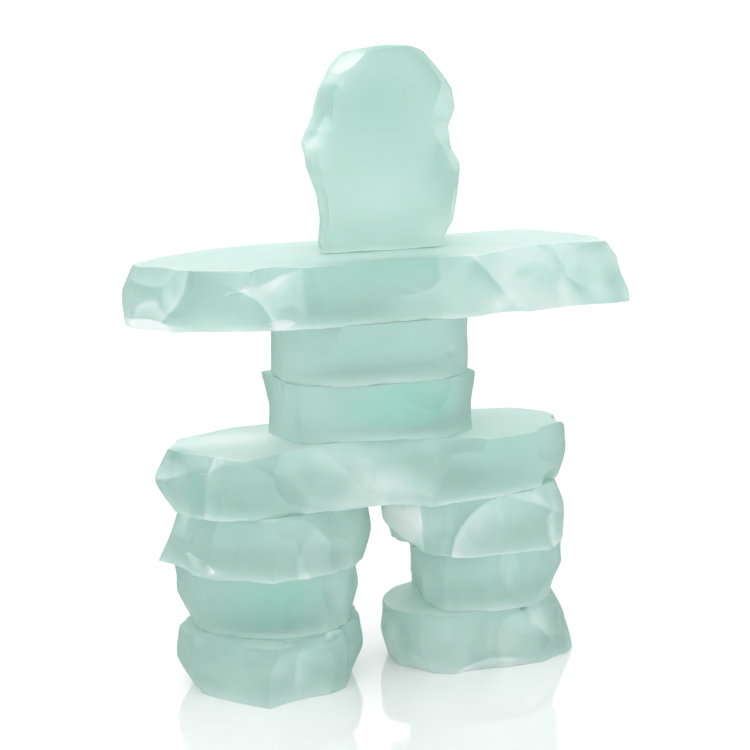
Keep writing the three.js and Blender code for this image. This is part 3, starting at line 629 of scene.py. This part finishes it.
def bite_depth(wall, inwards, frames, seed):
    """How far each point of the wall is bitten in, along its own way in.

    Every flake is a shallow bowl: bite times one minus the cube of the share out from its middle, less
    a little of its sixth power, dropped from the plane that the flake faces and wavering a little. The
    depths of all flakes and of the bare wall are joined by the logarithm of their summed exponentials,
    which keeps the deepest and softens the ridges between them.
    Inside a scar, rings of faint ripples run out from the arris where it was struck. The second result is
    how white each point is, most where a scar is deepest, and cloudy: partly crushed white, partly
    painted light and shade on the scar.
    """
    total = np.zeros(wall.shape[:2])
    ripple = np.zeros(wall.shape[:2])
    crushed_and_painted_light = np.zeros(wall.shape[:2])
    waver = WAVER * waves(wall, WAVER_LENGTH, seed + 11)
    fine_waver = FINE_WAVER * waves(wall, FINE_WAVER_LENGTH, seed + 12)
    cloud = CRUSHED_CLOUD + coarse_and_fine(wall, CRUSHED_WAVES, seed + 13)
    rng = np.random.default_rng(seed)
    for place, along, upwards, outwards, (half_wide, half_tall, bite), white in zip(*frames):
        from_place = wall - place
        across = from_place @ along / half_wide
        up = from_place @ upwards / half_tall
        spread = across ** 2 + up ** 2
        bowl = from_place @ outwards + bite * (1 - spread ** 1.5 - BOWL_RIM * spread ** 3)
        bowl += (math.cos(place[0] / MM) * waver + fine_waver) * min(bite, MM)
        facing = np.maximum(-(inwards @ outwards), GRAZING)
        depth = np.clip(bowl / facing, *BITE_LIMITS)
        joined = RIDGE_SOFTNESS * np.logaddexp(total / RIDGE_SOFTNESS, depth / RIDGE_SOFTNESS)
        share = np.exp((depth - joined) / RIDGE_SOFTNESS)
        struck = place + upwards * half_tall * (STRUCK_AT if rng.random() < 0.5 else -STRUCK_AT)
        reach = np.linalg.norm(wall - struck, axis=-1)
        length = rng.uniform(*RIPPLE_LENGTHS) * MM
        rings = np.sin(2 * math.pi * reach / length + rng.uniform(0, 6))
        rings *= RIPPLE_FAINT + (1 - RIPPLE_FAINT) * np.sin(reach / RIPPLE_SWELL) ** 2
        ripple = ripple * (1 - share) + share * rings * min(half_wide / RIPPLE_WIDTH, 1)
        # Crushed white of the scar together with painted light and shade from the flake's white.
        crushed_and_painted_light = crushed_and_painted_light * (1 - share) + share * white * np.clip(depth / bite, 0, CRUSHED_MOST) * cloud
        total = joined
    return total + RIPPLE_DEPTH * ripple, crushed_and_painted_light


def top_dips(points, slab, length, depth, thick, seed):
    """How far the top face is dressed down: its dips, each the exponential of minus twice the square of
    the share out from its middle, and a faint unevenness. It fades to nothing at mid-thickness. The
    second result is the painted light and shade over the dips."""
    much, wave_length = FACE_WAVES
    sunk = much * (1 + waves(points * (1, 1, 0), wave_length, seed + 3))
    crushed_and_painted_light = np.zeros(points.shape[:2])
    for x, y, wide, tall, deep, slant, white in slab.get("dips", []):
        turn = math.radians(slant)
        from_middle = points[..., :2] - np.array([x * length, y * depth]) * PERCENT
        across = from_middle @ (math.cos(turn), math.sin(turn)) / (wide / 2 * PERCENT * thick)
        up = from_middle @ (-math.sin(turn), math.cos(turn)) / (tall / 2 * PERCENT * thick)
        fall = np.exp(-2 * (across ** 2 + up ** 2))
        sunk += deep * PERCENT * thick * fall
        # Painted light and shade over the dip.
        crushed_and_painted_light += white * PERCENT * fall
    share = np.clip(2 * points[..., 2] / thick - 1, 0, 1)
    share = share ** 2 * (3 - 2 * share)
    return sunk * share, crushed_and_painted_light * share


def pale_patches(points, rings, slab, thick, seed):
    """How much whiter the glass is painted in the slab's patches of painted light and shade: each is the
    exponential of minus twice the square of the share out from its middle, along, up and in, and a
    little uneven."""
    whitened = np.zeros(points.shape[:2])
    rows = [(where, height, 0, wide, tall, 0, 0, slant, white)
            for where, height, wide, tall, slant, white in slab["pale"]]
    for place, *axes, (half_wide, half_tall, _), white in zip(*flake_frames(rings, rows, thick)):
        shares = (points - place) @ np.stack(axes, axis=1) / (half_wide, half_tall, PATCH_DEPTH)
        whitened += white * np.exp(-2 * (shares ** 2).sum(axis=-1))
    return whitened * (1 + coarse_and_fine(points, PATCH_WAVES, seed + 15))


def beside(line, along, up):
    """Distance of each point of the laid-out wall from a line, and whether it lies on the line's left.
    Where two of the line's pieces are as near, the one that the point is further beside counts."""
    nearest = np.full(np.broadcast(along, up).shape, np.inf)
    distance, left = nearest.copy(), nearest.copy()
    tie = 1e-4
    for (a, low), (b, high) in zip(line[:-1], line[1:]):
        length = math.hypot(b - a, high - low)
        ahead = ((along - a) * (b - a) + (up - low) * (high - low)) / length
        aside = ((up - low) * (b - a) - (along - a) * (high - low)) / length
        off = np.hypot(aside, ahead - np.clip(ahead, 0, length))
        ranked = off - tie * np.abs(aside)
        closer = ranked < nearest
        nearest = np.where(closer, ranked, nearest)
        distance = np.where(closer, off, distance)
        left = np.where(closer, aside, left)
    return distance, left > 0


def lit_rims(rings, where, up, slab, thick):
    """How much whiter the glass is painted along the rims of its scars, as a painted highlight with
    painted shade on the far side, and how far their lips stand.

    The wall is laid out flat: along by arc length, up by height, and on over both plate faces. To the
    left of a rim's line the whiteness is the exponential of minus the distance over its fade. To the
    right it is a little darker than usual and fades twice as fast. The two meet in a narrow logistic
    step, and both fade over the plate faces.
    """
    run = edge_run(rings)
    corners = np.arange(len(run))
    along = np.interp(where, corners, run)[None, :]
    whitened, lips = np.zeros(up.shape), np.zeros(up.shape)
    over = np.exp(-np.maximum(np.maximum(up - thick, -up), 0) / RIM_OVER)
    for white, fade, line in slab.get("rims", []):
        line = [(np.interp(corner, corners, run), height * PERCENT * thick) for corner, height in line]
        middle = np.mean([place for place, _ in line])
        near = middle + (along - middle + run[-1] / 2) % run[-1] - run[-1] / 2
        distance, left = beside(line, near, up)
        lit = 1 / (1 + np.exp(-np.where(left, distance, -distance) / RIM_SHARP))
        glow = lit * np.exp(-distance / (fade * MM))
        # Painted highlight to the left of the rim's line, painted shade to its right.
        whitened += white * PERCENT * (glow - RIM_SHADE * (1 - lit) * np.exp(-2 * distance / (fade * MM)))
        lips += RIM_LIP * glow
    return whitened * over, lips


def ring_faces(rows, columns):
    """Quads between closed rings of points, one ring above the other, and one flat face at either end."""
    row = np.arange(rows - 1)[:, None] * columns
    here = np.arange(columns)[None, :]
    after = (here + 1) % columns
    quads = np.stack([row + here, row + after, row + columns + after, row + columns + here], axis=-1)
    ends = [list(range(columns))[::-1], list(range((rows - 1) * columns, rows * columns))]
    return quads.reshape(-1, 4).tolist() + ends


def slab_surface(name, slab, seed):
    """A slab as points, faces and whiteness, about its own middle: rings that grow over its bottom face,
    the rows of its wall one above the other, then rings that shrink over its top face. Each is a closed
    outline, and one small flat face closes either end."""
    low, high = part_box(name)
    size = np.array(high) - np.array(low)
    if slab.get("upright"):
        size = size[[0, 2, 1]]
    length, depth, thick = size
    rings = edge_rings(slab, length, depth, thick)
    where = edge_columns(rings)
    bottom, middle, top = softened(between_corners(rings, where), WORN.get(name, CORNER_SOFTNESS))
    heights, tucks = row_heights(thick)
    level = (2 * heights / thick - 1)[:, None, None]
    plan = middle + (top - middle) * bent(level) + (bottom - middle) * bent(-level)
    heights_over_plan = np.broadcast_to(heights[:, None, None], plan.shape[:2] + (1,))
    wall = np.concatenate([plan, heights_over_plan], axis=2)

    reach = np.maximum(np.array([length - depth, depth - length]) / 2, 0) * SPINE_SHARE
    spine = np.clip(middle, -reach, reach)
    inwards = np.zeros_like(wall)
    inwards[..., :2] = spine - plan
    inwards /= np.linalg.norm(inwards, axis=-1, keepdims=True)

    flakes = slab["flakes"] + chance_flakes(slab, seed)
    bites, crushed_and_painted_light = bite_depth(wall, inwards, flake_frames(rings, flakes, thick), seed)
    # Painted highlight along the rounded arrises, together with the frost of the arris.
    crushed_and_painted_light += slab.get("arris_white_and_highlight", ARRIS_WHITE_AND_HIGHLIGHT) * (tucks / ARRIS_RADIUS)[:, None]
    # Painted light towards the lower arris, which lifts the shade at the joint.
    crushed_and_painted_light += LOWER_PAINTED_LIGHT * np.exp(-heights / GLOW_REACH)[:, None]
    beneath = (UNDER_SHARES[:, None] - 1) * np.linalg.norm(spine - plan[0], axis=1)
    above = thick + (1 - CAP_SHARES[:, None]) * np.linalg.norm(spine - plan[-1], axis=1)
    up = np.vstack([beneath, wall[..., 2], above])
    edge = slice(len(beneath), len(beneath) + len(wall))
    # Painted highlight along the scar rims with painted shade beyond them; the lips are shape.
    glow, lips = lit_rims(rings, where, up, slab, thick)
    depths = bites + tucks[:, None] - lips[edge] + coarse_and_fine(wall, EDGE_WAVES, seed + 1)
    points = wall + inwards * depths[..., None]
    lower_line = np.column_stack([spine, np.zeros(len(spine))])
    upper_line = lower_line + (0, 0, thick)
    under = lower_line + (points[0] - lower_line) * UNDER_SHARES[:, None, None]
    cap = upper_line + (points[-1] - upper_line) * CAP_SHARES[:, None, None]
    points = np.concatenate([under, points, cap])
    sunk, whitened = top_dips(points, slab, length, depth, thick, seed)
    # Painted light and shade of the patches, and the painted highlight of the rims.
    whitened += pale_patches(points, rings, slab, thick, seed) + glow
    points[..., 2] -= sunk
    # Painted light on the plate faces, together with their frost.
    plate_white_and_light = slab.get("plate_white_and_light", PLATE_WHITE_AND_LIGHT)
    whitened[:edge.start] += plate_white_and_light + UNDER_WHITE
    whitened[edge] += crushed_and_painted_light
    whitened[edge.stop:] += plate_white_and_light
    return points.reshape(-1, 3), ring_faces(*points.shape[:2]), whitened.ravel()


def seated(points, name, upright):
    """Points carried from their own box to the box of the slab's solid, reaching into the bond lines
    below and above it, and stood on edge if it is upright."""
    if upright:
        points = np.stack([points[:, 0], -points[:, 2], points[:, 1]], axis=1)
    low, high = (np.array(corner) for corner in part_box(name))
    if low[2] > MM:
        low[2] -= BOND_REACH
    if name != "head":
        high[2] += BOND_REACH
    own_low, own_high = points.min(axis=0), points.max(axis=0)
    return low + (points - own_low) / (own_high - own_low) * (high - low)


def slab_piece(name, slab, seed, finish):
    """The visible slab that stands for its node."""
    points, faces, whitened = slab_surface(name, slab, seed)
    mesh = bpy.data.meshes.new(name + "_glass")
    mesh.from_pydata(seated(points, name, slab.get("upright")), [], faces)
    mesh.polygons.foreach_set("use_smooth", np.ones(len(faces), dtype=bool))
    # The whiteness of each point: crushed white together with painted light and shade.
    mesh.attributes.new("crushed_and_painted_light", "FLOAT", "POINT").data.foreach_set("value", whitened)
    mesh.materials.append(finish)
    mesh.validate()
    mesh.update()
    piece = bpy.data.objects.new(name + "_glass", mesh)
    bpy.context.scene.collection.objects.link(piece)
    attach(piece, "root")
    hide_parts(name)


# The finish

# The glass's colour from clear to crushed white, with the places of the middle two between the ends.
GLASS_DEEP = (0.47, 0.83, 0.75)
GLASS_TINT = (0.63, 0.868, 0.80)
GLASS_PALE = (0.72, 0.930, 0.867)
GLASS_WHITE = (0.905, 0.965, 0.950)
TINT_AT, PALE_AT = 0.34, 0.62

# The colour that the glass takes in its depth, and how fast.
GLASS_DEPTH_COLOUR = (0.30, 0.62, 0.52)
GLASS_DEPTH = 12.0
GLASS_IOR = 1.5

# How much of the whiteness the crushed white and the painted light and shade give, and the range that a
# broad mottling gives.
CRUSHED_SHARE = 0.66
MOTTLE = (0.26, 0.42)

# How see-through the glass is where it is clear and where it is crushed white, the range of its dullness,
# and how strong and how high its grain is.
SEE_THROUGH = (0.68, 0.1)
DULLNESS = (0.50, 0.60)
GRAIN_STRENGTH = 0.25
GRAIN_HEIGHT = 0.04 * MM

# The scale and detail of each noise, and the middle part of a noise's range that is used.
MOTTLE_NOISE = (38, 2)
GLOSS_NOISE = (160, 3)
GRAIN_NOISE = (2600, 2)
NOISE_MIDDLE = (0.3, 0.7)


def set_values(node, **values):
    """Sets a node's plain values. A socket's name has an underscore for each blank."""
    for socket, value in values.items():
        node.inputs[socket.replace("_", " ")].default_value = value


def stretched(tree, source, spread, results):
    """A value whose spread is carried to a range of results, and no further."""
    node = tree.nodes.new("ShaderNodeMapRange")
    set_values(node, From_Min=spread[0], From_Max=spread[1], To_Min=results[0], To_Max=results[1])
    tree.links.new(source, node.inputs["Value"])
    return node


def sandblasted_glass(name):
    """See-through sea-green plate with a sandblasted skin: whiter where a blow crushed it and where light
    and shade are painted into it, with a broad faint mottling of its tint and gloss, and a fine even
    grain pressed into the surface."""
    material = bpy.data.materials.new(name)
    material.use_nodes = True
    tree = material.node_tree
    shader = tree.nodes["Principled BSDF"]
    set_values(shader, IOR=GLASS_IOR)
    place = tree.nodes.new("ShaderNodeTexCoord").outputs["Object"]

    def noise(scale, detail):
        texture = tree.nodes.new("ShaderNodeTexNoise")
        set_values(texture, Scale=scale, Detail=detail)
        tree.links.new(place, texture.inputs["Vector"])
        return texture.outputs["Fac"]

    # The whiteness that the slab carries: crushed white together with painted light and shade.
    crushed_and_painted_light = tree.nodes.new("ShaderNodeAttribute")
    crushed_and_painted_light.attribute_name = "crushed_and_painted_light"
    mottle = stretched(tree, noise(*MOTTLE_NOISE), NOISE_MIDDLE, MOTTLE)
    whiteness = tree.nodes.new("ShaderNodeMath")
    whiteness.operation = "MULTIPLY_ADD"
    whiteness.inputs[1].default_value = CRUSHED_SHARE
    tree.links.new(crushed_and_painted_light.outputs["Fac"], whiteness.inputs[0])
    tree.links.new(mottle.outputs["Result"], whiteness.inputs[2])
    colours = tree.nodes.new("ShaderNodeValToRGB")
    ramp = colours.color_ramp.elements
    ramp[0].color = (*GLASS_DEEP, 1)
    ramp[1].color = (*GLASS_WHITE, 1)
    for at, colour in ((TINT_AT, GLASS_TINT), (PALE_AT, GLASS_PALE)):
        ramp.new(at).color = (*colour, 1)
    tree.links.new(whiteness.outputs["Value"], colours.inputs["Fac"])
    tree.links.new(colours.outputs["Color"], shader.inputs["Base Color"])

    clear = stretched(tree, crushed_and_painted_light.outputs["Fac"], (0, 1), SEE_THROUGH)
    tree.links.new(clear.outputs["Result"], shader.inputs["Transmission Weight"])
    dull = stretched(tree, noise(*GLOSS_NOISE), NOISE_MIDDLE, DULLNESS)
    tree.links.new(dull.outputs["Result"], shader.inputs["Roughness"])

    grain = tree.nodes.new("ShaderNodeBump")
    set_values(grain, Strength=GRAIN_STRENGTH, Distance=GRAIN_HEIGHT)
    tree.links.new(noise(*GRAIN_NOISE), grain.inputs["Height"])
    tree.links.new(grain.outputs["Normal"], shader.inputs["Normal"])

    inside = tree.nodes.new("ShaderNodeVolumeAbsorption")
    set_values(inside, Color=(*GLASS_DEPTH_COLOUR, 1), Density=GLASS_DEPTH)
    tree.links.new(inside.outputs["Volume"], tree.nodes["Material Output"].inputs["Volume"])
    return material


# The studio

# The floor: half its width, how far it lies below the feet, and its white.
FLOOR_REACH = 6.0
FLOOR_DROP = 0.1 * MM
FLOOR_WHITE = (0.93, 0.93, 0.93, 1)

# How far the sky's brighter half begins in front of the middle and how far behind it is full.
SKY_FADE = (-0.5, 0.3)

# The middle of the figure, which the lamps face.
FIGURE_MIDDLE = (0, 0, 0.1)

# The photograph's view: where the camera stands, and how it looks down and to the figure's left.
CAMERA_PLACE = (-0.2379, -0.6453, 0.2542)
CAMERA_DOWN = 13
CAMERA_LEFT = 20
CAMERA_LENS = 105.9
CAMERA_SENSOR = 36


def studio_floor():
    """A white polished floor, which holds a faint reflection of the feet."""
    mesh = bpy.data.meshes.new("studio_floor")
    corners = [(x * FLOOR_REACH, y * FLOOR_REACH, 0) for x, y in ((-1, -1), (1, -1), (1, 1), (-1, 1))]
    mesh.from_pydata(corners, [], [(0, 1, 2, 3)])
    floor = bpy.data.objects.new("studio_floor", mesh)
    bpy.context.scene.collection.objects.link(floor)
    floor.location.z = -FLOOR_DROP
    material = bpy.data.materials.new("white_floor")
    material.use_nodes = True
    shader = material.node_tree.nodes["Principled BSDF"]
    set_values(shader, Base_Color=FLOOR_WHITE, IOR=2.15, Roughness=0.08)
    set_values(shader, Emission_Color=(1, 1, 1, 1), Emission_Strength=0.03)
    mesh.materials.append(material)


def studio_sky(front, back):
    """Soft white light from all round, dimmer from the viewer's side than from behind the figure."""
    world = bpy.data.worlds.new("studio_sky")
    bpy.context.scene.world = world
    world.use_nodes = True
    tree = world.node_tree
    sky = tree.nodes["Background"]
    set_values(sky, Color=(1, 1, 1, 1))
    place = tree.nodes.new("ShaderNodeTexCoord")
    split = tree.nodes.new("ShaderNodeSeparateXYZ")
    tree.links.new(place.outputs["Generated"], split.inputs["Vector"])
    fade = stretched(tree, split.outputs["Y"], SKY_FADE, (front, back))
    fade.interpolation_type = "SMOOTHSTEP"
    tree.links.new(fade.outputs["Result"], sky.inputs["Strength"])


def soft_lamp(name, place, width, power):
    """A square soft lamp that faces the middle of the figure."""
    light = bpy.data.lights.new(name, "AREA")
    light.shape = "SQUARE"
    light.size = width
    light.energy = power
    lamp = bpy.data.objects.new(name, light)
    lamp.location = place
    lamp.rotation_euler = (Vector(FIGURE_MIDDLE) - Vector(place)).to_track_quat("-Z", "Y").to_euler()
    bpy.context.scene.collection.objects.link(lamp)


def photo_camera():
    """The photograph's view: a long lens, a little above the figure and to its left."""
    data = bpy.data.cameras.new("photo_camera")
    data.lens = CAMERA_LENS
    data.sensor_width = CAMERA_SENSOR
    camera = bpy.data.objects.new("photo_camera", data)
    camera.location = CAMERA_PLACE
    camera.rotation_euler = (math.radians(90 - CAMERA_DOWN), 0, math.radians(-CAMERA_LEFT))
    bpy.context.scene.collection.objects.link(camera)
    bpy.context.scene.camera = camera


photo_camera()
studio_floor()
studio_sky(front=1.02, back=1.25)
soft_lamp("lamp_above", (-0.1, -0.35, 1.2), width=1.2, power=0.8)
soft_lamp("lamp_left", (-1.0, -0.5, 0.7), width=0.8, power=1.0)
bpy.context.scene.view_settings.view_transform = "Standard"

glass = sandblasted_glass("frosted_plate_glass")
for number, (name, slab) in enumerate(SLABS.items()):
    slab_piece(name, slab, FIRST_SEED + SEED_STEP * number, glass)
